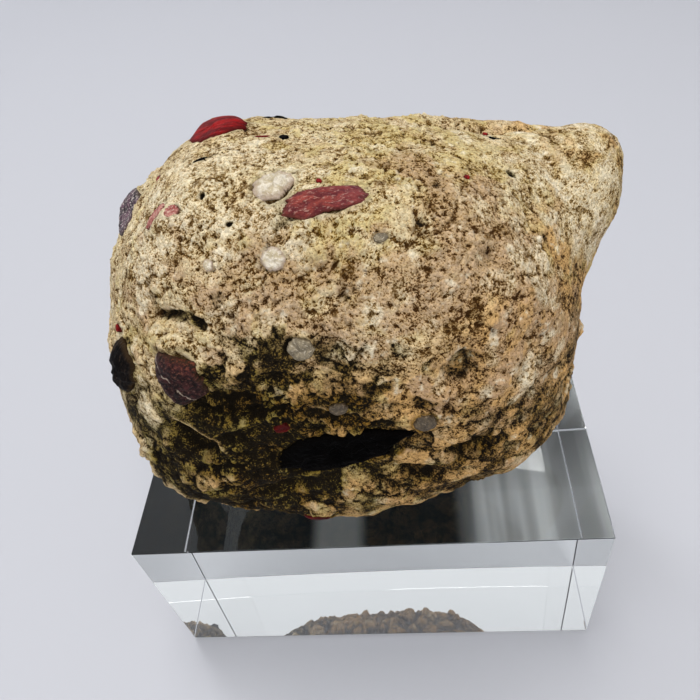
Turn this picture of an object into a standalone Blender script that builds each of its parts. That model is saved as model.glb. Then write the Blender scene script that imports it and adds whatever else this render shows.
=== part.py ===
# Puddingstone on its clear display block.
# A cobble of pebbly sandstone rests on the top face of a clear acrylic block.
# Metres, +Z up. The origin is the middle of the block's underside, and the block's long front faces -Y.
# Shape values are given in millimetres and turned to metres where they are used.

import math

import bmesh
import bpy
import numpy as np
from mathutils import Vector, noise

MM = 0.001

# The clear block: a standard display block of cast acrylic.
BLOCK_WIDTH = 150 * MM
BLOCK_DEPTH = 70 * MM
BLOCK_HEIGHT = 70 * MM
BLOCK_EDGE = 0.4 * MM

# The stone: where its middle lies, and how high its lowest points sit.
STONE_CENTRE = (-2.0, 9.0, 125.0)
REST_GAP = 0.3 * MM
STONE_REST = BLOCK_HEIGHT + REST_GAP
STONE_TRIANGLES = 7600
SPHERE_SUBDIVISIONS = 7
CORNER_SHARPNESS = 12

# Worn faces of the cobble: the way each one looks, and its distance from the middle.
WORN_FACES = (
    ((1, 0.1, 0.1), 66),
    ((-1, 0, 0.25), 67),
    ((0, -1, 0.1), 46.5),
    ((0, 1, 0.1), 50),
    ((0.13, 0.15, 1), 54.5),
    ((0, 0, -1), 55.2),
    ((0, -1, 0.9), 53),
    ((-1, 0, 1), 63.5),
    ((-0.8, -1, 0.7), 60),
    ((-1, -1, 0), 60),
    ((1, -1, 0), 60),
    ((-1, -1, -1), 72),
    ((1, -1, -1), 65),
    ((-0.3, -1, -1), 58),
    ((0.6, -1, -1), 58),
    ((1, -0.2, -1), 73),
    ((-1, -0.2, -1), 81),
    ((0, 1, 1), 59),
    ((0, 1, -1), 60),
    ((-1, 1, 0.2), 64),
    ((1, 1, -0.5), 68),
    ((1, -0.3, 1), 65),
)

# Broad lobes and saddles: the way each one looks, its angular radius in degrees, and its height.
LOBES = (
    ((80, 25, 31), 14, 19),
    ((72, 27, 42), 9, 5),
    ((59, 29, 45), 10, -6.5),
    ((70, 14, 12), 15, 5),
    ((-0.76, -0.55, -0.36), 17, 6),
    ((0.80, -0.50, -0.35), 17, 6.5),
    ((-0.78, 0.20, 0.58), 11, 2),
    ((-0.62, 0.36, 0.70), 8, -2.2),
    ((-0.86, -0.05, 0.50), 9, 1.5),
)

# Hollows and ledges. Azimuth 0 looks to the front and 90 to the right, in degrees from the stone's middle.
# Each has its azimuth, elevation, length, width, turn and depth. A negative depth is a swelling.
HOLLOWS = (
    (4, -3, 44, 17, -8, 4.5),
    (-27, 19, 26, 8, -14, 4.0),
    (-40, 4, 13, 10, -30, 3.8),
    (-38, 9, 20, 5, -25, -1.6),
    (-44, 37, 12, 7, 12, 3.2),
    (-43, 31, 12, 8, 5, -1.6),
    (38, 22, 12, 11, 30, 2.4),
    (38, -5, 13, 6, 10, 2.6),
    (55, 41, 10, 7, 0, 1.2),
    (-12, -18, 34, 7, 12, 2.2),
    (26, -14, 20, 6, -18, 2.4),
    (14, 9, 24, 6, 8, -1.8),
    (-20, -9, 22, 7, 24, -1.6),
    (54, 9, 13, 9, 20, -1.8),
    (72, -6, 18, 7, 60, 2.2),
    (97, 34, 26, 6, 70, 1.8),
    (104, 2, 22, 12, 20, 1.8),
    (150, 8, 30, 14, -15, 2.4),
    (172, 34, 24, 9, 10, -2.0),
    (-150, 2, 26, 12, 30, 2.6),
    (-168, -24, 24, 11, -10, 2.0),
    (-112, 8, 18, 10, 40, 2.0),
    (-92, -20, 22, 9, 10, 2.4),
    (-130, 36, 18, 9, -30, -1.6),
)

# Pebbles that stand in the sand matrix.
# Each has its azimuth, elevation, length, width, turn, rise and squareness.
PEBBLES = (
    (-126, 63, 18, 10, -28, 2.4, 2.6),
    (15, 69, 19, 8, 2, 0.9, 2.6),
    (-99, 38, 11, 14, 0, 2.0, 2.4),
    (-62, 14, 10, 20, -14, 2.8, 2.6),
    (-39, 24, 13, 15, 8, 2.2, 4.0),
    (5, -3, 36, 13, -8, 2.4, 2.2),
    (-20, 74, 10, 9, 20, 0.8, 2.2),
    (-12, 57, 6, 6, 0, 0.8, 2.0),
    (-3, 36, 7, 6.5, 0, 1.4, 2.0),
    (5, 17, 6, 5, 10, 1.2, 2.6),
    (27, 9, 7, 6, 0, 1.6, 2.2),
    (-9, -32, 12, 8, 0, 1.6, 2.4),
    (-63, 54, 9, 8, 20, 0.8, 2.2),
    (128, 20, 17, 12, 25, 2.0, 2.4),
    (165, -10, 14, 11, -20, 2.2, 2.2),
    (-166, 22, 12, 17, 10, 2.0, 3.0),
    (-138, -16, 15, 12, 35, 2.4, 2.2),
    (-104, -4, 9, 8, 0, 1.6, 2.0),
    (108, -22, 13, 9, -30, 2.0, 2.4),
    (84, -30, 10, 9, 15, 1.6, 2.2),
)
SOCKET_WIDTH = 1.35
SOCKET_DEPTH = 0.7

# Coarse crumbs of the weathered matrix: their size, and their height above and below the waist.
CRUMB_SIZE = 8.5
CRUMB_HEIGHT_TOP = 0.5
CRUMB_HEIGHT_BELOW = 1.15
WAIST_ELEVATION = 12
WAIST_BLEND = 26
SWELL_SIZE = 34
SWELL_HEIGHT = 1.1


def unit(vector):
    vector = np.array(vector, float)
    return vector / np.linalg.norm(vector)


def way(azimuth, elevation):
    """The unit vector of an azimuth and an elevation in degrees."""
    a = math.radians(azimuth)
    e = math.radians(elevation)
    return np.array((math.cos(e) * math.sin(a), -math.cos(e) * math.cos(a), math.sin(e)))


def cobble_points(ways):
    """Points of the smooth cobble, in millimetres: worn faces that round into each other, with broad lobes."""
    total = 0
    for looks, distance in WORN_FACES:
        total = total + (np.clip(ways @ unit(looks), 0, None) / distance) ** CORNER_SHARPNESS
    radius = total ** (-1 / CORNER_SHARPNESS)
    for looks, spread, height in LOBES:
        angle = np.degrees(np.arccos(np.clip(ways @ unit(looks), -1, 1)))
        radius = radius + height * np.exp(-((angle / spread) ** 2))
    return np.array(STONE_CENTRE) + ways * radius[:, None]


def cobble_normals(ways, step=0.004):
    """Outward normals of the smooth cobble, from small steps over its surface."""
    helper = np.where(np.abs(ways[:, 2:]) < 0.9, (0.0, 0.0, 1.0), (1.0, 0.0, 0.0))
    east = np.cross(helper, ways)
    east /= np.linalg.norm(east, axis=1)[:, None]
    north = np.cross(ways, east)

    def stepped(side):
        moved = ways + side * step
        return cobble_points(moved / np.linalg.norm(moved, axis=1)[:, None])

    normals = np.cross(stepped(east) - stepped(-east), stepped(north) - stepped(-north))
    return normals / np.linalg.norm(normals, axis=1)[:, None]


def patch_distance(points, azimuth, elevation, length, width, turn, squareness):
    """How far each point lies from a patch's middle: 1 on its rim, and large away from it."""
    middle_way = way(azimuth, elevation)[None, :]
    middle = cobble_points(middle_way)[0]
    normal = cobble_normals(middle_way)[0]
    along = unit(np.cross((0, 0, 1), normal))
    across = np.cross(normal, along)
    turned = math.radians(turn)
    long_side = along * math.cos(turned) + across * math.sin(turned)
    short_side = np.cross(normal, long_side)
    offset = points - middle
    x = np.abs(offset @ long_side) / (length / 2)
    y = np.abs(offset @ short_side) / (width / 2)
    distance = (x**squareness + y**squareness) ** (1 / squareness)
    return np.where(np.abs(offset @ normal) < max(length, width), distance, 99.0)


def smooth_step(value, low, high):
    t = np.clip((value - low) / (high - low), 0, 1)
    return t * t * (3 - 2 * t)


def crumb_relief(points):
    """Rounded crumbs with creases between them, from -1 in a crease to about 1 on a crumb."""
    relief = np.empty(len(points))
    for i, point in enumerate(points):
        place = Vector(point) / CRUMB_SIZE
        place += noise.noise_vector(place * 0.7) * 0.35
        nearest, second = noise.voronoi(place)[0][:2]
        relief[i] = 1 - 2.2 * nearest + 0.5 * min(second - nearest, 0.4)
    return relief


def swell_relief(points):
    return np.array([noise.noise(Vector(point) / SWELL_SIZE + Vector((7, 3, 5))) for point in points])


def stone_points(ways):
    """Points of the finished stone, in metres."""
    points = cobble_points(ways)
    normals = cobble_normals(ways)
    elevation = np.degrees(np.arcsin(np.clip(ways[:, 2], -1, 1)))
    roughness = 1 - smooth_step(elevation, WAIST_ELEVATION - WAIST_BLEND, WAIST_ELEVATION + WAIST_BLEND)
    crumb_height = CRUMB_HEIGHT_TOP + (CRUMB_HEIGHT_BELOW - CRUMB_HEIGHT_TOP) * roughness
    crumbs = crumb_relief(points) * crumb_height
    height = SWELL_HEIGHT * swell_relief(points)
    for azimuth, tilt, length, width, turn, depth in HOLLOWS:
        distance = patch_distance(points, azimuth, tilt, length, width, turn, 2)
        height -= depth * np.exp(-((distance / 0.85) ** 2))
    for azimuth, tilt, length, width, turn, rise, squareness in PEBBLES:
        distance = patch_distance(points, azimuth, tilt, length, width, turn, squareness)
        crown = np.sqrt(np.clip(1 - np.clip(distance, 0, 1) ** 2.4, 0, 1))
        inside = 1 - smooth_step(distance, 0.9, 1.1)
        crumbs *= 1 - inside
        height += rise * crown
        height -= SOCKET_DEPTH * smooth_step(distance, 0.85, 1.02) * (1 - smooth_step(distance, 1.02, SOCKET_WIDTH))
    points = points + normals * (height + crumbs)[:, None]
    points = points * MM
    points[:, 2] = np.maximum(points[:, 2], STONE_REST)
    return points


def plain_material(name, colour, roughness, transmission=0.0, ior=1.5):
    material = bpy.data.materials.new(name)
    material.use_nodes = True
    shader = material.node_tree.nodes["Principled BSDF"]
    shader.inputs["Base Color"].default_value = (*colour, 1)
    shader.inputs["Metallic"].default_value = 0.0
    shader.inputs["Roughness"].default_value = roughness
    shader.inputs["Transmission Weight"].default_value = transmission
    shader.inputs["IOR"].default_value = ior
    return material


def add_object(name, shape, material):
    mesh = bpy.data.meshes.new(name)
    shape.to_mesh(mesh)
    shape.free()
    mesh.materials.append(material)
    made = bpy.data.objects.new(name, mesh)
    bpy.context.scene.collection.objects.link(made)
    return made


def add_block():
    shape = bmesh.new()
    size = (BLOCK_WIDTH, BLOCK_DEPTH, BLOCK_HEIGHT)
    bmesh.ops.create_cube(shape, size=1)
    bmesh.ops.scale(shape, vec=size, verts=shape.verts)
    bmesh.ops.translate(shape, vec=(0, 0, BLOCK_HEIGHT / 2), verts=shape.verts)
    bmesh.ops.bevel(
        shape,
        geom=shape.edges[:],
        offset=BLOCK_EDGE,
        segments=2,
        profile=0.5,
        affect="EDGES",
        material=-1,
    )
    acrylic = plain_material("clear_acrylic", (0.95, 0.97, 0.97), 0.03, transmission=1.0, ior=1.49)
    return add_object("display_block", shape, acrylic)


def add_stone():
    shape = bmesh.new()
    bmesh.ops.create_icosphere(shape, subdivisions=SPHERE_SUBDIVISIONS, radius=1)
    ways = np.array([unit(vertex.co) for vertex in shape.verts])
    for vertex, place in zip(shape.verts, stone_points(ways)):
        vertex.co = place
    sphere_triangles = len(shape.faces)
    sandstone = plain_material("pebbly_sandstone", (0.48, 0.37, 0.21), 0.85)
    stone = add_object("puddingstone", shape, sandstone)
    stone.data.shade_smooth()
    thin = stone.modifiers.new("Decimate", "DECIMATE")
    thin.ratio = STONE_TRIANGLES / sphere_triangles
    return stone


def clear_scene():
    for old in list(bpy.data.objects):
        bpy.data.objects.remove(old, do_unlink=True)


clear_scene()
add_block()
add_stone()
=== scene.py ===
import math

import bmesh
import bpy
import numpy as np
from mathutils import Matrix, Vector, noise
from mathutils.bvhtree import BVHTree


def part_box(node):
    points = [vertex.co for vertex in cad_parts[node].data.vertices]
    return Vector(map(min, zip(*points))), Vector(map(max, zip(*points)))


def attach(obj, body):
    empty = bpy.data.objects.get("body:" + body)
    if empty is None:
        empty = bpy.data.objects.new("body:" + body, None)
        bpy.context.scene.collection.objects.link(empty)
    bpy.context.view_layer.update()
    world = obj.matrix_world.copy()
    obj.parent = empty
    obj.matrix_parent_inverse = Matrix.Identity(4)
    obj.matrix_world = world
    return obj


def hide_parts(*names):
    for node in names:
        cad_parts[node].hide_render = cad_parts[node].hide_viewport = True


# Puddingstone on its clear block. Sizes are in millimetres unless a name says otherwise.
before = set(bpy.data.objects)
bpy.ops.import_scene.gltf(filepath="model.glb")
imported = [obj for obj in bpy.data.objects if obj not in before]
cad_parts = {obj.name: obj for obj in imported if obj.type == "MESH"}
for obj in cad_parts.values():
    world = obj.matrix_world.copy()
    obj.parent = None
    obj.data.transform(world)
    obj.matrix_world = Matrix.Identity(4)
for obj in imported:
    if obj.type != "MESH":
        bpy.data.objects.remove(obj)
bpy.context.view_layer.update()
mm = 0.001


def linear(hexColour):
    parts = [int(hexColour[i:i + 2], 16) / 255 for i in (1, 3, 5)]
    return tuple(p / 12.92 if p <= 0.04045 else ((p + 0.055) / 1.055) ** 2.4 for p in parts) + (1.0,)


def addNode(tree, kind, inputs, **settings):
    node = tree.nodes.new("ShaderNode" + kind)
    for name, value in settings.items():
        setattr(node, name, value)
    for socket, value in inputs.items():
        if isinstance(value, bpy.types.NodeSocket):
            tree.links.new(value, node.inputs[socket])
        else:
            node.inputs[socket].default_value = value
    return node


def startMaterial(name, **values):
    material = bpy.data.materials.new(name)
    material.use_nodes = True
    shader = material.node_tree.nodes["Principled BSDF"]
    for socket, value in values.items():
        shader.inputs[socket.replace("_", " ")].default_value = value
    return material, material.node_tree, shader


def smoothStep(value, low, high):
    t = np.clip((value - low) / (high - low), 0, 1)
    return t * t * (3 - 2 * t)


def way(azimuth, elevation):  # azimuth 0 looks to the front, 90 to the right
    a, e = math.radians(azimuth), math.radians(elevation)
    return Vector((math.cos(e) * math.sin(a), -math.cos(e) * math.cos(a), math.sin(e)))


def makePiece(name, shape, material, smooth=True):
    mesh = bpy.data.meshes.new(name)
    shape.to_mesh(mesh)
    shape.free()
    if smooth:
        mesh.shade_smooth()
    mesh.materials.append(material)
    piece = bpy.data.objects.new(name, mesh)
    bpy.context.scene.collection.objects.link(piece)
    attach(piece, "root")
    return piece


def storeValues(mesh, name, values):
    layer = mesh.attributes.new(name, "FLOAT", "POINT")
    layer.data.foreach_set("value", values.astype(np.float32))


# camera at the photo's angle: close above the front, leaning 10.5 degrees
cameraSetup = {
    "eye": (23, -133, 257), "aim": (1.4, 0, 120.9), "roll": -10.5,
    "lens": 34.04, "sensor": 36, "nearest": 10,
}


def addCamera(setup):
    data = bpy.data.cameras.new("photoCamera")
    data.lens = setup["lens"]
    data.sensor_width = setup["sensor"]
    data.clip_start = setup["nearest"] * mm
    camera = bpy.data.objects.new("photoCamera", data)
    eye, aim = Vector(setup["eye"]) * mm, Vector(setup["aim"]) * mm
    roll = Matrix.Rotation(math.radians(setup["roll"]), 3, "Z")
    turn = (eye - aim).to_track_quat("Z", "Y").to_matrix() @ roll
    camera.matrix_world = Matrix.Translation(eye) @ turn.to_4x4()
    bpy.context.scene.collection.objects.link(camera)
    bpy.context.scene.camera = camera


addCamera(cameraSetup)
print("camera ready")

# the stone's body: a sphere of points wrapped onto the solid, then weathered
stoneBody = {
    "centre": (-2, 9, 125),
    "coarseCuts": 59,          # first net, wrapped and smoothed
    "fineCuts": 3,             # cuts each quad again: six sides of 115 thousand triangles
    "frontWeight": 0.2,        # draws points towards the seen side
    "frontWay": (0.1, -0.65, 0.75),
    "smoothing": 5,            # passes on each net that take out the solid's facets
    # cell or noise size, height on top and height on the rough lower part
    "lumps": ((8.5, 0.4, 1.0), (4.6, 0.26, 0.75), (2.2, 0.14, 0.25), (1.1, 0.12, 0.13)),
    "grit": ((3.4, 0.3, 0.4), (1.3, 0.2, 0.2), (0.62, 0.17, 0.14)),
    # spacing, threshold, depth on top and depth below
    "pores": (1.25, 0.22, 0.34, 0.3),
    "holes": (6.0, 0.42, 0.35, 0.7),
    "waist": (-12, 38),        # elevation where the rough lower part starts and ends
    "brownLine": (2, 56),      # and where the brown stain does
    "dirtAndShadeLine": (-10, 28),     # and the dirt with painted shade
    "dirtAndShadeShare": 0.33,
}

# how the weather works on the stone's surface
weathering = {
    "driftSize": 10, "raggedSize": 2.6, "crumbSize": 1.2,    # noises that break up every edge
    "wanderSize": 24, "wanderDegrees": 14,     # how far the waist wanders up and down
    "leftFlank": (-0.75, -0.25), "leftBrown": 0.35,    # the left flank stays grey-green
    "coarseSize": 13, "coarseRange": (0.45, 1.1), "wornLoss": 0.3,
    "gritGain": 1.3, "clumpSize": 4, "clumpStep": (-0.45, 0.75),
    "calmLoss": 0.8, "streakSize": 1.1, "streakHeight": 0.22,
    # dirt with painted shade: darker in holes, damp zones, hollows and valleys between lumps, lighter on
    # proud lumps
    "dampAndShadeGain": 0.75, "holeDirtAndShade": 0.25, "hollowDirtAndShade": 0.86, "valleyDirtAndShade": 0.08,
    "patchStain": 0.55, "bossDirtAndShadeLoss": 0.35, "rimHeight": 0.25, "rimPale": 0.2,
    "underPebble": 1.7,        # depth of the sand's floor under a pebble
    "nearPasses": 10, "widePasses": 50, "levelReach": 0.8, "hollowShadeReach": 0.7,
}

# hollows and crevices: azimuth, elevation, length, width, turn, depth and how dark it is painted, dirt with
# painted shade
hollows = (
    (3, -1, 40, 13, 13, 1.9, 1.0),
    (-27, 16, 26, 8, -12, 3.6, 1.0),
    (-44, 38.5, 10, 3, 12, 1.2, 0.6),
    (-36, 39, 5, 3, -20, 1.3, 0.8),
    (38, 22, 10, 8, 30, 1.4, 0.55),
    (38, -5, 12, 6, 10, 2.2, 0.75),
    (55, 41, 9, 6, 0, 0.8, 0.3),
    (-12, -16, 30, 6, 12, 1.6, 0.8),
    (-7, 9, 14, 4, -15, 1.1, 0.95),
    (14, 9, 14, 4, 10, 1.1, 0.95),
    (25, -14, 18, 5, -18, 1.8, 0.55),
    (-7.5, 36.5, 6.5, 3, 75, 1.4, 0.95),
    (-14, 28, 8, 3.5, 10, 1.1, 0.8),
    (3, 13, 16, 5, -10, 1.8, 0.95),
    (-24, 7, 18, 5, 14, 1.6, 0.95),
    (17, 22, 11, 3.5, 20, 0.9, 0.7),
    (28, 15, 9, 4, -30, 0.9, 0.6),
    (-52, -4, 9, 14, 10, 1.2, 0.6),
    (90, 42, 2.6, 3.0, 0, 1.0, 0.8),
    (-53, 64, 1.6, 1.8, 0, 1.4, 1.0),
    (-34, 62, 1.8, 1.2, 0, 1.0, 0.9),
    (104, 2, 18, 9, 20, 1.2, 0.5),
    (150, 8, 26, 10, -15, 1.6, 0.5),
    (-150, 2, 22, 9, 30, 1.8, 0.6),
    (-112, 8, 15, 8, 40, 1.4, 0.5),
    (-92, -20, 18, 7, 10, 1.6, 0.6),
)

# broad smooth dips of the whole surface, a swell where the depth is negative:
# azimuth, elevation, length, width, turn, depth
dips = (
    (-74, 22, 46, 40, 0, 1.7),
    (121, 38, 60, 14, 56, 5.9),    # saddle beside the horn
    (96, 18, 30, 30, 0, -1.5),
    (-110, 20, 30, 30, 0, 1.0),
)

# smooth sockets left by pebbles that fell out, in the same order
sockets = ((-38, 3.5, 15, 9.5, -32, 2.8, 1.0),)

# lumps of the sand itself that stand proud: azimuth, elevation, length, width, turn, height
bosses = (
    (-47, 32, 4.4, 6, 0, 1.3), (-41, 32, 7.4, 4.6, 12, 1.4), (-50, 7, 8, 4, -30, 0.9), (54, 9, 6, 5, 20, 1.0),
    (47, 13, 4.5, 4, 0, 0.9), (-33, 68, 7.5, 2.6, 32, 0.5), (-46, -2, 5, 4, 0, 0.9), (-30, -8, 9, 4, 24, 0.8),
    (-8, 8, 7, 4, 0, 0.9), (12, 9, 6, 4, -20, 0.8), (22, 13, 6, 5, 0, 0.8), (-16, 17, 7, 4, 10, 1.0),
    (106, 36, 28, 5, 31, 0.9), (-57, 46, 3.4, 5, 10, 0.5), (-73, 62, 6, 5, 20, 0.35),
)

# stained zones, each with azimuth, elevation, radius in degrees and strength
stains = {
    # damp zones are painted darker: a stain with painted shade between lumps
    "dampAndShade": (
        (-33, -5, 19, 1.0), (-24, 12, 13, 1.0), (-12, -10, 15, 0.75), (40, -4, 5, 0.25),
        (2, 9, 14, 0.6), (-14, 26, 14, 0.9), (8, 21, 13, 0.8), (-120, -10, 20, 0.4),
    ),
    "calm": (    # where the surface is even
        (110, 36, 22, 0.9), (48, -26, 24, 0.85), (84, 3, 32, 1.0), (-72, -8, 34, 0.95),
        (-10, -36, 26, 0.95), (20, -38, 24, 0.9), (-70, 62, 10, 0.3),
    ),
    "ochre": (
        (60, 70, 24, 0.6), (98, 34, 22, 0.6), (100, 20, 16, 0.5), (5, 62, 16, 0.6),
        (-20, 14, 20, 0.6), (0, -14, 26, 0.7), (-44, 31, 8, 0.9), (-50, 68, 10, 0.7),
        (25, 60, 8, 0.8), (95, 66, 15, 0.8), (-44, -8, 24, 0.4), (170, 50, 30, 0.6),
        (-130, 10, 25, 0.5), (-60, 20, 12, 0.4),
    ),
    "mauve": (
        (-44, 43, 16, 0.9), (62, 50, 16, 0.6), (52, 26, 16, 0.6), (37, 5, 13, 0.8),
        (76, 6, 18, 0.6), (55, 41, 10, 0.8), (-12, 57, 8, 0.7), (20, 44, 22, 0.6),
        (0, 30, 16, 0.4), (140, 10, 26, 0.6), (-110, 0, 22, 0.5),
    ),
    "pale": (
        (-62, 57, 7, 0.7), (-49, 62, 5, 0.7), (-75, 62, 15, 0.9), (-20, 74, 14, 0.7),
        (20, 36, 12, 0.35), (54, 10, 9, 0.7), (66, 30, 8, 0.7), (-58, 46, 8, 0.8),
        (-52, 6, 6, 0.7), (-75, 25, 16, 0.4), (-160, 30, 26, 0.5), (-33, 68, 6, 0.8),
        (100, 34, 18, 0.7), (92, 22, 10, 0.4), (-68, 0, 15, 0.6),
    ),
}

# pebbles set in the stone: azimuth, elevation, length, width, turn, rise and squareness of the outline
pebbles = {
    "redJasper": (
        (-120, 64, 15.2, 8.5, 60, 0.8, 4), (-93, 53, 3.8, 2.0, 35, 0.2, 2.4),
        (-109, 57, 1.6, 1.2, 0, 0.2, 2), (-127, 76, 5.2, 0.9, 46, 0.12, 2),
        (17, 75, 1.2, 1.8, 0, 0.25, 2), (-66, 23, 1.6, 2.4, 0, 0.4, 2),
        (78, 52, 1.5, 1.5, 0, 0.2, 2), (114, 42, 1.8, 1.2, 0, 0.2, 2),
        (-9.5, -32, 8, 3.6, 0, 0.5, 2.4), (-104, -4, 6, 5, 0, 0.6, 2),
        (-14, 7.2, 4.0, 3.2, 20, 0.15, 3),
    ),
    "maroonQuartzite": ((15, 69, 19.5, 7.4, 2, 0.35, 3.2), (165, -10, 12, 9, -20, 0.5, 2.4)),
    "purpleQuartzite": ((-39, 22.5, 12.5, 15.5, 8, 1.3, 5), (108, -22, 12, 8, -30, 1.0, 2.4)),
    "bandedSlate": ((-61, 14, 10, 18.5, -14, 0.7, 2.6), (-166, 22, 10, 15, 10, 0.6, 3.4)),
    "mottledQuartz": ((-95, 38, 12.5, 13.5, 10, 0.6, 2.8),),
    "blackChert": (
        (3.5, -3, 35, 12.5, 15, 0.9, 2.4), (-143, 80, 3.2, 2.4, 10, 0.3, 2.4),
        (-84, 66.3, 4.2, 1.1, -42, 0.12, 2), (-157, 61, 8, 3.0, 0, 0.2, 2.2),
        (109, 42, 4.2, 1.4, 10, 0.2, 2), (-138, -16, 14, 10, 35, 0.6, 2.6),
    ),
    "greyQuartz": (
        (-3, 36, 6.2, 5.6, 0, 1.0, 2), (5, 17, 4.8, 3.4, 10, 0.8, 2.4),
        (27, 9, 5.8, 4.8, 0, 1.0, 2.2), (32, 56, 3.4, 2.2, 0, 0.2, 2),
        (84, -30, 8, 7, 15, 0.5, 2.2), (128, 20, 15, 10, 25, 0.4, 2.6),
    ),
    "whiteQuartz": (
        (-20, 74, 10, 9.2, 35, 0.15, 2.8), (-12, 57, 6.2, 5.6, 0, 0.25, 2),
        (-36, 52, 2.6, 2.8, 0, 0.3, 2),
    ),
    "pinkQuartzite": ((-67, 53, 9.0, 4.6, 92, 0.1, 2.6), (-60, 57, 4.4, 3.6, 30, 0.15, 2)),
}


def wrapOntoSolid(body, solid):
    copy = bmesh.new()
    copy.from_mesh(solid.data)
    bmesh.ops.remove_doubles(copy, verts=copy.verts, dist=1e-6)
    solidTree = BVHTree.FromBMesh(copy)
    centre = Vector(body["centre"]) * mm
    shape = bmesh.new()
    bmesh.ops.create_cube(shape, size=2)
    for side, f in enumerate(shape.faces):  # remembers the cube's side through both cuts
        f.material_index = side
    bmesh.ops.subdivide_edges(shape, edges=shape.edges[:], cuts=body["coarseCuts"], use_grid_fill=True)
    front = Vector(body["frontWay"]).normalized() * body["frontWeight"]
    for v in shape.verts:
        evened = Vector([math.tan(c * math.pi / 4) for c in v.co]).normalized()
        v.co = solidTree.ray_cast(centre, (evened + front).normalized())[0]
    copy.free()
    for cuts in (0, body["fineCuts"]):
        if cuts:
            bmesh.ops.subdivide_edges(shape, edges=shape.edges[:], cuts=cuts, use_grid_fill=True)
        for _ in range(body["smoothing"]):
            bmesh.ops.smooth_vert(shape, verts=shape.verts, factor=0.5,
                                  use_axis_x=True, use_axis_y=True, use_axis_z=True)
    shape.normal_update()
    return shape


def patchFrame(base, centre, azimuth, elevation, turn):
    place, normal = base.ray_cast(centre, way(azimuth, elevation))[:2]
    along = Vector((0, 0, 1)).cross(normal).normalized()
    long = Matrix.Rotation(math.radians(turn), 3, normal) @ along
    return place, normal, long, normal.cross(long)


def patchCoordinates(points, patch):
    place, normal, long, short = (np.array(v) for v in patch)
    offset = points - place / mm
    return offset @ long, offset @ short, offset @ normal


def patchDistance(points, patch, length, width, squareness, overhang=0.0):
    x, y, z = patchCoordinates(points, patch)
    y = y * (1 + overhang * np.sign(y))
    across = np.abs(x / (length / 2)) ** squareness
    upwards = np.abs(y / (width / 2)) ** squareness
    distance = (across + upwards) ** (1 / squareness)
    return np.where(np.abs(z) < max(length, width), distance, 99)


def unevenPush(q):  # built from plain noise, because noise_vector differs from one run to the next
    steps = (Vector((9.3, -1.5, -8.0)), Vector((0, 0, 0)), Vector((6.3, 0.2, -2.7)))
    return Vector([noise.noise(q * 2.2 + step) for step in steps]) * 0.16


def lumpField(places, size, shift):  # rounded lumps, some of them missing, between -1 and 1
    field = np.empty(len(places))
    for i, p in enumerate(places):
        q = p / size + shift
        near, seeds = noise.voronoi(q + unevenPush(q))
        field[i] = 0.7 - 1.5 * near[0] + min(near[1] - near[0], 0.4) + 0.6 * noise.cell(seeds[0] * 37)
    return field


def noiseField(places, size, shift):
    return np.array([noise.noise(p / size + shift) for p in places])


def blurOverMesh(values, edges, passes):
    count = np.bincount(edges.ravel(), minlength=len(values))
    for _ in range(passes):
        total = np.bincount(edges[:, 0], values[edges[:, 1]], len(values))
        total += np.bincount(edges[:, 1], values[edges[:, 0]], len(values))
        values = 0.4 * values + 0.6 * total / count
    return values


def stainMasks(zones, ways, uneven):
    masks = {}
    for name, spots in zones.items():
        mask = np.zeros(len(ways))
        for azimuth, tilt, radius, strength in spots:
            angle = np.degrees(np.arccos(np.clip(ways @ np.array(way(azimuth, tilt)), -1, 1)))
            mask += strength * np.exp(-(angle / radius) ** 2)
        masks[name] = np.clip(mask * uneven, 0, 1)
    return masks


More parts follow.
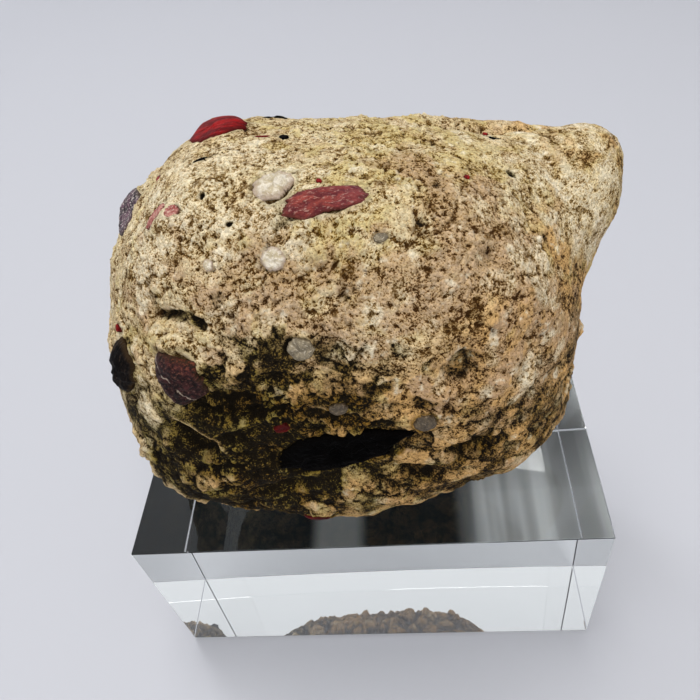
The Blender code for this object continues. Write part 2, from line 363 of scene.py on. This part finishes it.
def weatherStone(body, weather, shape, base):
    centre = Vector(body["centre"]) * mm
    points = np.array([v.co for v in shape.verts]) / mm
    normals = np.array([v.normal for v in shape.verts])
    places = [Vector(p) for p in points]
    ways = points - np.array(body["centre"])
    ways /= np.linalg.norm(ways, axis=1)[:, None]
    elevation = np.degrees(np.arcsin(ways[:, 2]))
    drift = noiseField(places, weather["driftSize"], Vector((5, 1, 9)))
    ragged = noiseField(places, weather["raggedSize"], Vector((2, 9, 4)))
    crumb = noiseField(places, weather["crumbSize"], Vector((6, 3, 3)))
    wander = noiseField(places, weather["wanderSize"], Vector((3, 8, 1))) * weather["wanderDegrees"]
    rough = 1 - smoothStep(elevation + wander, *body["waist"])
    brown = 1 - smoothStep(elevation + wander, *body["brownLine"])
    flank = weather["leftBrown"]
    brown *= flank + (1 - flank) * smoothStep(ways[:, 0], *weather["leftFlank"])

    lowest, spread = weather["coarseRange"]
    patchy = noiseField(places, weather["coarseSize"], Vector((4, 4, 6)))
    coarse = lowest + spread * smoothStep(patchy, -0.35, 0.4)
    worn = smoothStep(elevation - 21 * np.abs(ways[:, 0] + 0.6), 35, 75)    # smoother at the top left
    coarse *= 1 - weather["wornLoss"] * worn

    masks = stainMasks(stains, ways, 1 + 1.1 * drift + 0.6 * ragged)
    for name, size in (("ochre", 4.5), ("mauve", 6.0), ("pale", 5.0)):
        spots = smoothStep(noiseField(places, size, Vector((size, 1, 5))), 0.08, 0.4)
        masks[name] = np.clip(masks[name] + weather["patchStain"] * spots, 0, 1)

    relief = np.zeros(len(points))
    clump = np.zeros(len(points))
    for i, (size, top, below) in enumerate(body["lumps"]):
        lumps = lumpField(places, size, Vector((i * 9, 2, 4)))
        relief += lumps * (top + (below - top) * rough)
        if size > weather["clumpSize"]:
            clump += lumps * size / 13
    clump = smoothStep(clump, *weather["clumpStep"])
    for i, (size, top, below) in enumerate(body["grit"]):
        grit = noiseField(places, size, Vector((3, i * 7, 8)))
        relief += grit * (top + (below - top) * rough) * weather["gritGain"]
    relief = (relief - relief.mean()) * coarse
    calm = masks.pop("calm")
    leaning = [Vector((p.x * 0.15, p.y * 0.15, p.z - 0.3 * p.x)) for p in places]
    streaks = noiseField(leaning, weather["streakSize"], Vector((8, 1, 2)))
    relief = relief * (1 - weather["calmLoss"] * calm) + streaks * calm * weather["streakHeight"]
    size, level, top, below = body["pores"]
    pore = smoothStep(noiseField(places, size, Vector((1, 6, 3))), level, level + 0.3)
    relief -= pore * (top + (below - top) * rough) * (1 - 0.5 * calm)
    size, level, top, below = body["holes"]
    hole = noiseField(places, size, Vector((7, 7, 2)))
    hole = smoothStep(hole, level - 0.1 * rough, level + 0.22)
    relief -= hole * (top + (below - top) * rough) * (1 - calm)

    # dirt with painted shade: darker low on the stone, in the holes, in the damp zones and in the valleys
    # between lumps, where shade falls
    dirtAndShade = (1 - smoothStep(elevation + wander * 0.6, *body["dirtAndShadeLine"])) * body["dirtAndShadeShare"]
    dirtAndShade += hole * (1 - calm) * weather["holeDirtAndShade"]
    dirtAndShade += masks.pop("dampAndShade") * weather["dampAndShadeGain"]
    dirtAndShade = dirtAndShade * (1.45 - 0.9 * clump) + weather["valleyDirtAndShade"] * rough * (1 - clump)
    for azimuth, tilt, length, width, turn, height in bosses:
        patch = patchFrame(base, centre, azimuth, tilt, turn)
        distance = patchDistance(points, patch, length, width, 2) + drift * 0.2 + ragged * 0.12
        relief += height * np.sqrt(np.clip(1 - distance ** 2, 0, 1))
        dirtAndShade *= 1 - weather["bossDirtAndShadeLoss"] * (1 - smoothStep(distance, 0.5, 1.0))
    for azimuth, tilt, length, width, turn, depth in dips:
        x, y, z = patchCoordinates(points, patchFrame(base, centre, azimuth, tilt, turn))
        reach = (2 * x / length) ** 2 + (2 * y / width) ** 2 + (z / length) ** 2
        relief -= depth * np.exp(-2 * reach)
    for azimuth, tilt, length, width, turn, depth, dirtAndShadeAmount in hollows:
        patch = patchFrame(base, centre, azimuth, tilt, turn)
        distance = patchDistance(points, patch, length, width, 2, overhang=0.2) + drift * 0.3
        distance += (ragged * 0.4 + crumb * 0.12) * (1 - calm)
        inside = 1 - smoothStep(distance, 0.35, 1.15)
        relief -= depth * inside * (1 + 0.5 * ragged)
        # the hollow is painted darker: dirt with painted shade
        dirtAndShadeReach = 1 - smoothStep(distance, 0.4, 1.35)
        dirtAndShade = np.maximum(dirtAndShade, weather["hollowDirtAndShade"] * dirtAndShadeAmount * dirtAndShadeReach)

    for azimuth, tilt, length, width, turn, depth, dirtAndShadeAmount in sockets:
        patch = patchFrame(base, centre, azimuth, tilt, turn)
        distance = patchDistance(points, patch, length, width, 2.2, overhang=0.2) + drift * 0.08
        inside = 1 - smoothStep(distance, 0.62, 1.0)
        above = smoothStep(patchCoordinates(points, patch)[1] + drift * 2, -1.0, 3.0)
        rim = smoothStep(distance, 0.85, 1.0) * (1 - smoothStep(distance, 1.05, 1.5)) * above
        smoothed = 1 - 0.9 * np.maximum(inside, 0.7 * rim)
        relief = relief * smoothed - depth * inside + weather["rimHeight"] * rim
        dirtAndShade = np.maximum(dirtAndShade * (1 - 0.8 * rim), dirtAndShadeAmount * inside)
        masks["pale"] = np.maximum(masks["pale"], weather["rimPale"] * rim)

    # the sand stops short under each pebble and laps onto its rim
    for group in pebbles.values():
        for azimuth, tilt, length, width, turn, rise, squareness in group:
            patch = patchFrame(base, centre, azimuth, tilt, turn)
            distance = patchDistance(points, patch, length, width, squareness)
            lap = 0.02 + 0.8 / min(length, width)
            under = 1 - smoothStep(distance + ragged * lap, 0.88 - lap, 1.0)
            relief = relief * (1 - under) - weather["underPebble"] * under
            outwards = smoothStep(distance, 1.0, 1.0 + 1.8 / min(length, width))
            rim = smoothStep(distance, 0.85, 1.0) * (1 - outwards)
            # a dark ring of dirt with painted shade round each pebble's edge
            dirtAndShade = np.maximum(dirtAndShade, rim * (0.35 + 0.5 * rough))

    edges = np.array([[v.index for v in e.verts] for e in shape.edges])
    near = blurOverMesh(relief, edges, weather["nearPasses"])
    wide = blurOverMesh(near, edges, weather["widePasses"])
    points = points + normals * relief[:, None]
    points[:, 2] = np.maximum(points[:, 2], cadRest)    # nothing sinks below the solid's resting area
    for v, p in zip(shape.verts, points):
        v.co = p * mm
    # level makes the low places darker, partly painted shade; the hollow mask darkens wide hollows with
    # painted shade
    masks["dirtAndShade"] = np.clip(dirtAndShade, 0, 1)
    level = (relief - near) / weather["levelReach"] - pore * 0.15 + (clump - 0.5) * 0.22
    masks["level"] = np.clip(0.5 + level, 0, 1)
    masks["hollowShade"] = np.clip((wide - near) / weather["hollowShadeReach"], 0, 1)
    masks["brown"] = brown
    return masks


# Friable quartz sandstone, broken and weathered: cream sand grains on a yellow crust,
# so the eye sees a crumbly pale surface full of tiny dark pores
sandColours = {
    "crest": "#d3c29c", "body": "#a98a55", "recess": "#6f4f19", "pore": "#361f04", "dirtAndShade": "#0d0801",
    "ochre": ("#c2b078", "#785c08"), "mauve": ("#b39576", "#573619"), "pale": ("#ddd0b2", "#8b6e3a"),
    "brown": ("#c6995c", "#4a2a06"),
    "bleach": "#e3d8bd", "blot": "#5c3f14", "wetAndShade": "#a39b66",
}
sandGrain = {    # real sizes in mm
    "grain": 0.6, "speck": 0.42, "sponge": 0.95, "blotch": 2.6, "patch": 8.0,
    "bumpDepth": 0.55, "rough": 0.9, "shine": 0.12,
}
patternDetail = {"patch": (4.0, 0.7), "sponge": (3.0, 0.65), "blotch": (2.0, 0.6), "speck": (2.0, 0.7)}
# how much each pattern moves the height that decides the tone
patternWeights = {"sponge": 1.1, "speck": 2.1, "blotch": 0.9, "patch": 0.8}
# start and end of each tone on its mask, then its strength at both
sandTones = {
    "brown": (0.05, 0.8, 0.0, 0.9), "stain": (0.12, 0.5, 0.0, 0.8),
    "recess": (0.15, 0.5), "crest": (0.45, 0.75), "bleach": (1.12, 1.35, 0.0, 0.75),
    "blot": (0.9, 0.68, 0.0, 0.7), "grain": (0.0, 1.0, 0.78, 1.15), "pore": (0.22, 0.0, 0.0, 0.92),
    "speck": (0.4, 0.3, 0.0, 0.6), "hollowShade": (0.05, 0.7, 0.0, 0.8), "wetAndShade": (0.1, 0.7),
    "dirtAndShadeAmount": (0.06, 0.75, 0.0, 0.97),
}


def readMask(tree, name):
    return addNode(tree, "Attribute", {}, attribute_name=name).outputs["Fac"]


def remap(tree, value, low, high, start=0.0, end=1.0):
    inputs = {0: value, 1: low, 2: high, 3: start, 4: end}
    return addNode(tree, "MapRange", inputs, interpolation_type="SMOOTHSTEP").outputs[0]


def blendColours(tree, amount, under, over, blend="MIX"):
    under = linear(under) if isinstance(under, str) else under
    over = linear(over) if isinstance(over, str) else over
    inputs = {0: amount, 6: under, 7: over}
    return addNode(tree, "Mix", inputs, data_type="RGBA", blend_type=blend).outputs[2]


def compute(tree, operation, first, second):
    return addNode(tree, "Math", {0: first, 1: second}, operation=operation).outputs[0]


def sandstoneMaterial(name, colours, sizes, tones):
    material, tree, shader = startMaterial(name, Roughness=sizes["rough"], Specular_IOR_Level=sizes["shine"])
    place = addNode(tree, "TexCoord", {}).outputs["Object"]
    patterns = {}
    for key, (detail, rough) in patternDetail.items():
        inputs = {"Vector": place, "Scale": 1000 / sizes[key], "Detail": detail, "Roughness": rough}
        patterns[key] = addNode(tree, "TexNoise", inputs).outputs["Fac"]
    grain = addNode(tree, "TexVoronoi", {"Vector": place, "Scale": 1000 / sizes["grain"]})
    grainTone = addNode(tree, "SeparateColor", {0: grain.outputs["Color"]}).outputs[0]

    crest, recess = linear(colours["crest"]), linear(colours["recess"])
    low = remap(tree, readMask(tree, "brown"), *tones["brown"])
    crest = blendColours(tree, low, crest, colours["brown"][0])
    recess = blendColours(tree, low, recess, colours["brown"][1])
    for stain in ("ochre", "mauve", "pale"):
        amount = compute(tree, "MULTIPLY", readMask(tree, stain), patterns["patch"])
        amount = remap(tree, amount, *tones["stain"])
        crest = blendColours(tree, amount, crest, colours[stain][0])
        recess = blendColours(tree, amount, recess, colours[stain][1])

    # height decides the tone: pale on the grains' tips, darker between them and dark in the pores, partly the
    # sand's own colour and partly painted shade
    level = readMask(tree, "level")
    for key, weight in patternWeights.items():
        change = compute(tree, "SUBTRACT", patterns[key], 0.5)
        level = compute(tree, "ADD", level, compute(tree, "MULTIPLY", change, weight))
    between = blendColours(tree, 0.5, colours["body"], crest)
    body = blendColours(tree, remap(tree, level, *tones["recess"]), recess, between)
    body = blendColours(tree, remap(tree, level, *tones["crest"]), body, crest)
    cloud = compute(tree, "ADD", patterns["blotch"], patterns["patch"])
    body = blendColours(tree, remap(tree, cloud, *tones["bleach"]), body, colours["bleach"])
    body = blendColours(tree, remap(tree, cloud, *tones["blot"]), body, colours["blot"])
    body = blendColours(tree, 1.0, body, remap(tree, grainTone, *tones["grain"]), "MULTIPLY")
    # dark pores and wide hollows are painted shade; the dark specks are random tone
    for key, mask in (("pore", level), ("speck", patterns["speck"]), ("hollowShade", readMask(tree, "hollowShade"))):
        body = blendColours(tree, remap(tree, mask, *tones[key]), body, colours["pore"])
    # the dirt mask tints and darkens the sand: dirt with painted shade, darkest in the low places
    wetAndShade = remap(tree, readMask(tree, "dirtAndShade"), *tones["wetAndShade"])
    body = blendColours(tree, wetAndShade, body, colours["wetAndShade"], "MULTIPLY")
    deep = compute(tree, "SUBTRACT", 1.6, compute(tree, "MULTIPLY", level, 1.45))
    dirtAndShadeAmount = compute(tree, "MULTIPLY", readMask(tree, "dirtAndShade"), deep)
    body = blendColours(tree, remap(tree, dirtAndShadeAmount, *tones["dirtAndShadeAmount"]), body, colours["dirtAndShade"])
    tree.links.new(body, shader.inputs["Base Color"])

    dents = compute(tree, "MULTIPLY", grain.outputs["Distance"], -0.35)
    height = compute(tree, "ADD", patterns["sponge"], dents)
    height = compute(tree, "ADD", height, compute(tree, "MULTIPLY", patterns["speck"], 0.9))
    bump = addNode(tree, "Bump", {"Height": height, "Strength": 1.0, "Distance": sizes["bumpDepth"] * mm})
    tree.links.new(bump.outputs[0], shader.inputs["Normal"])
    return material


print("helpers ready")

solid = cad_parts["puddingstone"]
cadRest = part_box("puddingstone")[0].z / mm
stoneShape = wrapOntoSolid(stoneBody, solid)
stoneBase = BVHTree.FromBMesh(stoneShape)
print("stone wrapped", len(stoneShape.faces), "faces")

masks = weatherStone(stoneBody, weathering, stoneShape, stoneBase)
print("stone weathered")


# one piece for each side of the first cube keeps them under the size limit
def splitSkin(shape, masks, material):
    whole = bpy.data.meshes.new("sandMatrix")
    shape.to_mesh(whole)
    shape.free()
    for name, values in masks.items():
        storeValues(whole, name, values)
    sides = ("Left", "Back", "Right", "Front", "Bottom", "Top")
    for number, side in enumerate(sides):
        part = bmesh.new()
        part.from_mesh(whole)
        spare = [f for f in part.faces if f.material_index != number]
        bmesh.ops.delete(part, geom=spare, context="FACES")
        for f in part.faces:
            f.material_index = 0
        piece = makePiece("sandMatrix" + side, part, material)
        if number == 0:
            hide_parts("puddingstone")
    bpy.data.meshes.remove(whole)


sandstone = sandstoneMaterial("friableQuartzSandstone", sandColours, sandGrain, sandTones)
splitSkin(stoneShape, masks, sandstone)
print("stone skin split")

# how each kind of pebble is worn: corner cuts, surface relief, the relief's size in mm
# and how ragged its edge is
pebbleWear = {
    "redJasper": (0.2, 0.5, 5.0, 1.0),
    "maroonQuartzite": (0.3, 0.8, 1.8, 1.6),
    "purpleQuartzite": (0.5, 1.7, 3.0, 1.4),
    "bandedSlate": (0.4, 1.4, 3.0, 1.4),
    "mottledQuartz": (0.4, 0.8, 2.5, 1.2),
    "blackChert": (0.5, 2.6, 3.6, 1.8),
    "greyQuartz": (0.6, 0.6, 2.0, 1.6),
    "whiteQuartz": (0.9, 1.3, 2.4, 2.6),
    "pinkQuartzite": (0.8, 0.5, 1.2, 3.0),
}

# how deep a pebble goes into the sand, and the areas in square mm that earn it more faces,
# unless a large one stands behind that azimuth
pebbleBuild = {
    "skirt": 0.5, "root": 2.0, "fullReliefWidth": 7,
    "largeArea": 60, "middleArea": 14, "behind": 127,
}

# reach of the outline every 30 degrees, from the right and upwards, for pebbles with their own shape
pebbleOutlines = {
    ("maroonQuartzite", 0): (1.0, 1.06, 0.98, 1.0, 1.0, 0.84, 0.9, 1.12, 1.05, 0.86, 0.92, 1.0),
    ("whiteQuartz", 0): (1.0, 1.12, 0.95, 0.8, 0.9, 1.05, 0.95, 0.9, 0.85, 0.8, 0.9, 1.05),
    ("redJasper", 0): (1.0, 0.95, 0.95, 1.0, 0.95, 0.95, 1.05, 1.05, 1.0, 1.0, 1.05, 1.05),
    ("purpleQuartzite", 0): (0.98, 1.05, 1.1, 0.95, 0.88, 0.98, 1.0, 0.98, 1.06, 1.02, 0.9, 0.92),
    ("blackChert", 0): (1.0, 0.82, 0.74, 0.92, 1.08, 1.0, 0.9, 0.8, 1.05, 1.1, 0.95, 0.78),
    ("bandedSlate", 0): (1.0, 1.1, 1.0, 0.95, 0.95, 1.0, 1.0, 0.95, 0.95, 1.0, 0.85, 0.9),
}


def pebbleOutline(x, y, squareness, number, cuts, ragged, outline):
    rounded = (abs(x) ** squareness + abs(y) ** squareness + 1e-9) ** (-1 / squareness)
    uneven = 1 + 0.10 * noise.noise(Vector((x * 1.2, y * 1.2, number * 3.1)))
    uneven += 0.07 * ragged * noise.noise(Vector((x * 3.5, y * 3.5, number * 1.7)))
    uneven += 0.05 * ragged * noise.noise(Vector((x * 9, y * 9, number * 2.3)))
    if outline:
        turn = math.degrees(math.atan2(y, x)) % 360 / 30
        before, share = int(turn) % 12, turn % 1
        share = share * share * (3 - 2 * share)
        uneven += outline[before] * (1 - share) + outline[(before + 1) % 12] * share - 1
    reach = rounded * uneven
    for side in range(5):  # straight broken edges
        a = side * 1.25 + number * 1.3
        across = x * math.cos(a) + y * math.sin(a)
        limit = 1.05 - 0.3 * cuts * noise.cell(Vector((side * 1.5, number, 4)))
        if across > 0.1:
            reach = min(reach, limit / across)
    return reach


def pebbleDetail(area, azimuth):
    if area > pebbleBuild["largeArea"] and abs(azimuth) < pebbleBuild["behind"]:
        return 6
    return 5 if area > pebbleBuild["middleArea"] else 4


def growPebbles(kind, group):
    cuts, wear, wearSize, ragged = pebbleWear[kind]
    skirt = pebbleBuild["skirt"]
    made = bmesh.new()
    local = made.verts.layers.float_vector.new("local")
    rim = made.verts.layers.float.new("rim")
    lowShade = made.verts.layers.float.new("lowShade")
    centre = Vector(stoneBody["centre"]) * mm
    for number, (azimuth, tilt, length, width, turn, rise, squareness) in enumerate(group):
        place, normal, long, short = patchFrame(stoneBase, centre, azimuth, tilt, turn)
        outline = pebbleOutlines.get((kind, number))
        detail = pebbleDetail(length * width, azimuth)
        for v in bmesh.ops.create_icosphere(made, subdivisions=detail, radius=1)["verts"]:
            d = v.co.copy()
            flat = max(math.hypot(d.x, d.y), 1e-6)
            reach = min(1.0, flat ** 0.8 * 1.02)
            edge = pebbleOutline(d.x / flat, d.y / flat, squareness, number, cuts, ragged, outline)
            x, y = d.x / flat * reach * edge * length / 2, d.y / flat * reach * edge * width / 2
            start = place + (long * x + short * y) * mm
            hit, hitNormal = stoneBase.ray_cast(start + normal * 20 * mm, -normal)[:2]
            if d.z > 0:    # the seen cap; small pebbles get less relief
                spot = Vector((x, y, number * 7)) / wearSize
                bumps = noise.noise(spot) + 0.5 * noise.noise(spot * 2.7)
                lift = (rise + skirt) * math.sqrt(max(1 - reach ** 5, 0)) - skirt
                lift += wear * min(1, width / pebbleBuild["fullReliefWidth"]) * bumps * (1.1 - reach)
            else:
                lift = pebbleBuild["root"] * d.z - skirt
            v.co = hit + hitNormal * lift * mm
            v[local] = Vector((x, y, number * 10))
            v[rim] = reach
            v[lowShade] = 1.0 if tilt < 20 else 0.0    # low on the stone the pebbles get painted shade
    made.normal_update()
    return made


# Pebbles rounded by water before the sand set: dense quartz and chert, so they are smoother
# and darker than the sand and keep fine speckles, bands and veins
pebbleLooks = {
    "redJasper": {
        "dark": "#520306", "light": "#930d0e", "speck": "#a8584a", "speckShare": 0.1, "rim": "#3c0c08",
        "rough": 0.5, "shine": 0.1, "bump": 0.5, "stretch": (0.25, 1, 1)},
    "maroonQuartzite": {
        "dark": "#65282b", "light": "#9a463c", "speck": "#c59a8a", "speckShare": 0.5, "rim": "#5c3026",
        "end": "#6a3a4a", "rough": 0.75, "shine": 0.15, "bump": 1.3, "stretch": (0.4, 1, 1)},
    "purpleQuartzite": {
        "dark": "#170b0c", "light": "#4a2625", "speck": "#7d5c50", "speckShare": 0.45,
        "rough": 0.65, "shine": 0.2, "bump": 1.6, "stretch": (1, 1, 1)},
    "bandedSlate": {
        "dark": "#070404", "light": "#1c1412", "speck": "#5e534c", "speckShare": 0.5,
        "rough": 0.65, "shine": 0.1, "bump": 0.9, "stretch": (1, 0.16, 1)},
    "mottledQuartz": {
        "dark": "#160c14", "light": "#6b4c5b", "speck": "#d2c6bf", "speckShare": 0.6,
        "rough": 0.55, "shine": 0.3, "bump": 0.8, "stretch": (1, 0.7, 1)},
    "blackChert": {
        "dark": "#020101", "light": "#070403", "speck": "#1a120a", "speckShare": 0.3, "rim": "#050302",
        "rough": 0.8, "shine": 0.05, "bump": 2.2, "stretch": (0.3, 1, 1)},
    "greyQuartz": {
        "dark": "#5f5543", "light": "#94876d", "speck": "#c3b8a2", "speckShare": 0.5,
        "rough": 0.5, "shine": 0.4, "bump": 0.5, "stretch": (1, 1, 1)},
    "whiteQuartz": {
        "dark": "#b5a687", "light": "#dfd6c4", "speck": "#efe7d8", "speckShare": 0.5, "rim": "#a08878",
        "rimStart": 0.55, "rough": 0.7, "shine": 0.3, "bump": 0.6, "stretch": (1, 1, 1)},
    "pinkQuartzite": {
        "dark": "#8e3f3c", "light": "#c18679", "speck": "#d8b9a8", "speckShare": 0.6,
        "rough": 0.85, "shine": 0.2, "bump": 0.8, "stretch": (1, 1, 1)},
}
# patterns in a pebble's own coordinates, which are in mm, and the tints that a few of them have
pebblePatterns = {
    "cloud": {"Scale": 0.5, "Detail": 5.0, "Roughness": 0.7},
    "fleck": {"Scale": 1.6, "Detail": 3.0, "Roughness": 0.7},
    # the low-shade colour darkens pebbles low on the stone: painted shade
    "lowShade": "#8a7a66", "lowShadeShare": 0.85, "rim": "#3a2a16", "vein": "#cdb9a4", "rust": "#84402c",
}


def addVein(tree, body, place, fleck):  # one white vein and a rusty corner on the square purple pebble
    x, y = addNode(tree, "SeparateXYZ", {0: place}).outputs[:2]
    slant = compute(tree, "ADD", x, compute(tree, "MULTIPLY", y, 0.45))
    slant = compute(tree, "ADD", slant, compute(tree, "MULTIPLY", fleck, 1.6))
    line = compute(tree, "ABSOLUTE", slant, 0.0)
    body = blendColours(tree, remap(tree, line, 0.1, 0.28, 0.75, 0.0), body, pebblePatterns["vein"])
    corner = remap(tree, compute(tree, "ADD", x, y), 3.0, 11.0, 0.0, 0.75)
    corner = compute(tree, "MULTIPLY", corner, remap(tree, fleck, 0.45, 0.62))
    return blendColours(tree, corner, body, pebblePatterns["rust"])


def pebbleMaterial(name, look, patterns):
    material, tree, shader = startMaterial(name, Roughness=look["rough"], Specular_IOR_Level=look["shine"])
    place = addNode(tree, "Attribute", {}, attribute_name="local").outputs["Vector"]
    place = addNode(tree, "Mapping", {"Vector": place, "Scale": look["stretch"]}).outputs[0]
    cloud = addNode(tree, "TexNoise", {"Vector": place, **patterns["cloud"]}).outputs["Fac"]
    fleck = addNode(tree, "TexNoise", {"Vector": place, **patterns["fleck"]}).outputs["Fac"]
    body = blendColours(tree, remap(tree, cloud, 0.4, 0.64), look["dark"], look["light"])
    share = 0.66 - 0.25 * look["speckShare"]
    body = blendColours(tree, remap(tree, fleck, share, share + 0.12, 0.0, 0.7), body, look["speck"])
    if "end" in look:  # the tint drifts towards the pebble's right end
        side = addNode(tree, "SeparateXYZ", {0: place}).outputs[0]
        side = compute(tree, "MULTIPLY", remap(tree, side, -1.0, 5.0, 0.0, 0.7), cloud)
        body = blendColours(tree, side, body, look["end"])
    # pebbles low on the stone are darkened: painted shade
    lowShade = compute(tree, "MULTIPLY", readMask(tree, "lowShade"), patterns["lowShadeShare"])
    body = blendColours(tree, lowShade, body, patterns["lowShade"], "MULTIPLY")
    rim = remap(tree, readMask(tree, "rim"), look.get("rimStart", 0.8), 1.0, 0.0, 0.7)
    body = blendColours(tree, rim, body, look.get("rim", patterns["rim"]))
    if name == "purpleQuartzite":
        body = addVein(tree, body, place, fleck)
    tree.links.new(body, shader.inputs["Base Color"])
    height = compute(tree, "ADD", fleck, compute(tree, "MULTIPLY", cloud, 1.5))
    bump = addNode(tree, "Bump", {"Height": height, "Strength": 1.0, "Distance": look["bump"] * mm})
    tree.links.new(bump.outputs[0], shader.inputs["Normal"])
    return material


for kind, group in pebbles.items():
    material = pebbleMaterial(kind, pebbleLooks[kind], pebblePatterns)
    makePiece(kind + "Pebbles", growPebbles(kind, group), material)
print("pebbles set")

# the block's sizes are the solid's own; it stands on a thin dark backing sheet with air between
clearBlock = {
    "edge": 0.35, "edgeSegments": 2, "underside": 0.5, "sheet": 0.3, "sheetInset": 0.4,
    "acrylic": "#fafdfc", "bending": 1.49,
    # the pale streaks on the film are painted light
    "film": "#1c2124", "paintedLight": "#f4f5f6", "streaks": (90.0, 5.0, 1.0),    # streaks to the metre
}


def boxShape(low, high, bottom, top, inset):
    shape = bmesh.new()
    bmesh.ops.create_cube(shape, size=1)
    size = (high.x - low.x - 2 * inset, high.y - low.y - 2 * inset, top - bottom)
    bmesh.ops.scale(shape, vec=size, verts=shape.verts)
    bmesh.ops.translate(shape, vec=(0, 0, (top + bottom) / 2), verts=shape.verts)
    return shape


def addBlock(look, acrylic, film):
    low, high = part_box("display_block")
    shape = boxShape(low, high, low.z + look["underside"] * mm, high.z, 0)
    bmesh.ops.bevel(shape, geom=shape.edges[:], offset=look["edge"] * mm, affect="EDGES", profile=0.5,
                    segments=look["edgeSegments"], material=-1)
    block = makePiece("polishedBlock", shape, acrylic, smooth=False)
    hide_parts("display_block")
    sheet = boxShape(low, high, low.z, low.z + look["sheet"] * mm, look["sheetInset"] * mm)
    makePiece("backingSheet", sheet, film, smooth=False)


# Black backing film seen through the top: matt, with painted light in pale streaks towards the right
def filmMaterial(look):
    material, tree, shader = startMaterial("blackFilmWithPaintedLight", Roughness=0.6, Specular_IOR_Level=0.2)
    place = addNode(tree, "TexCoord", {}).outputs["Object"]
    along = addNode(tree, "Mapping", {"Vector": place, "Scale": look["streaks"]}).outputs[0]
    streak = addNode(tree, "TexNoise", {"Vector": along, "Scale": 1.0, "Detail": 2.0}).outputs["Fac"]
    x, y = addNode(tree, "SeparateXYZ", {0: place}).outputs[:2]
    # painted light: pale streaks towards the right and a fainter band left of the middle
    paintedStreakLight = remap(tree, streak, 0.4, 0.6, 0.5, 1.0)
    worn = compute(tree, "MULTIPLY", remap(tree, x, 0.028, 0.046), paintedStreakLight)
    worn = compute(tree, "MULTIPLY", worn, remap(tree, y, 0.04, -0.002, 0.2, 1.0))
    band = remap(tree, x, -0.003, -0.009, 0.0, 0.3)    # a fainter band left of the middle
    band = compute(tree, "MULTIPLY", remap(tree, x, -0.027, -0.021), band)
    worn = compute(tree, "MAXIMUM", worn, band)
    tree.links.new(blendColours(tree, worn, look["film"], look["paintedLight"]), shader.inputs["Base Color"])
    return material


# Cast acrylic, cut and polished: water-clear, with crisp bright edges
acrylic = startMaterial("polishedCastAcrylic", Base_Color=linear(clearBlock["acrylic"]), Roughness=0.0,
                        IOR=clearBlock["bending"], Transmission_Weight=1.0)[0]
addBlock(clearBlock, acrylic, filmMaterial(clearBlock))
print("block clear")

# plain pale floor that curves up into a wall all round, and soft light from above
studio = {
    "floorRadius": 900, "coveRadius": 500, "wallHeight": 1500, "gap": 0.2,
    "coveSteps": 12, "spinSteps": 64, "floorColour": "#b4b5ba", "target": (0, 0, 100),
    "key": {"place": (-60, 190, 1350), "width": 480, "watts": 7.3, "colour": (1.0, 0.985, 0.96)},
    "fill": {"place": (250, -1000, 1000), "width": 700, "watts": 11.4, "colour": (1.0, 0.99, 0.98)},
    "back": {"place": (-850, 1000, 1000), "width": 500, "watts": 7.5, "colour": (0.97, 0.98, 1.0)},
    "skyColour": "#e6e8ec", "skyStrength": 0.98,
}


def addFloor(look):
    shape = bmesh.new()
    radius, cove, drop = look["floorRadius"] * mm, look["coveRadius"] * mm, -look["gap"] * mm
    points = [(0, drop), (radius, drop)]
    for step in range(1, look["coveSteps"] + 1):
        a = math.radians(step * 90 / look["coveSteps"])
        points.append((radius + cove * math.sin(a), drop + cove * (1 - math.cos(a))))
    points.append((radius + cove, look["wallHeight"] * mm))
    line = [shape.verts.new((x, 0, z)) for x, z in points]
    profile = [shape.edges.new(pair) for pair in zip(line, line[1:])]
    bmesh.ops.spin(shape, geom=line + profile, cent=(0, 0, 0), axis=(0, 0, 1), angle=math.tau,
                   steps=look["spinSteps"], use_merge=True)
    bmesh.ops.remove_doubles(shape, verts=shape.verts, dist=1e-6)
    bmesh.ops.recalc_face_normals(shape, faces=shape.faces)
    mesh = bpy.data.meshes.new("floor")
    shape.to_mesh(mesh)
    shape.free()
    mesh.shade_smooth()
    # Matt paper: pale, without a gloss
    paper = startMaterial("mattPaper", Base_Color=linear(look["floorColour"]), Roughness=0.8)[0]
    mesh.materials.append(paper)
    floor = bpy.data.objects.new("floor", mesh)
    bpy.context.scene.collection.objects.link(floor)


def addSoftbox(name, box, target):
    data = bpy.data.lights.new(name, "AREA")
    data.shape = "SQUARE"
    data.size = box["width"] * mm
    data.energy = box["watts"]
    data.color = box["colour"]
    light = bpy.data.objects.new(name, data)
    light.location = Vector(box["place"]) * mm
    light.rotation_euler = (light.location - Vector(target) * mm).to_track_quat("Z", "Y").to_euler()
    bpy.context.scene.collection.objects.link(light)


addFloor(studio)
for side in ("key", "fill", "back"):
    addSoftbox(side + "Softbox", studio[side], studio["target"])
world = bpy.data.worlds.new("paleRoom")
world.use_nodes = True
world.node_tree.nodes["Background"].inputs["Color"].default_value = linear(studio["skyColour"])
world.node_tree.nodes["Background"].inputs["Strength"].default_value = studio["skyStrength"]
bpy.context.scene.world = world
bpy.context.scene.view_settings.view_transform = "Standard"
print("studio ready")
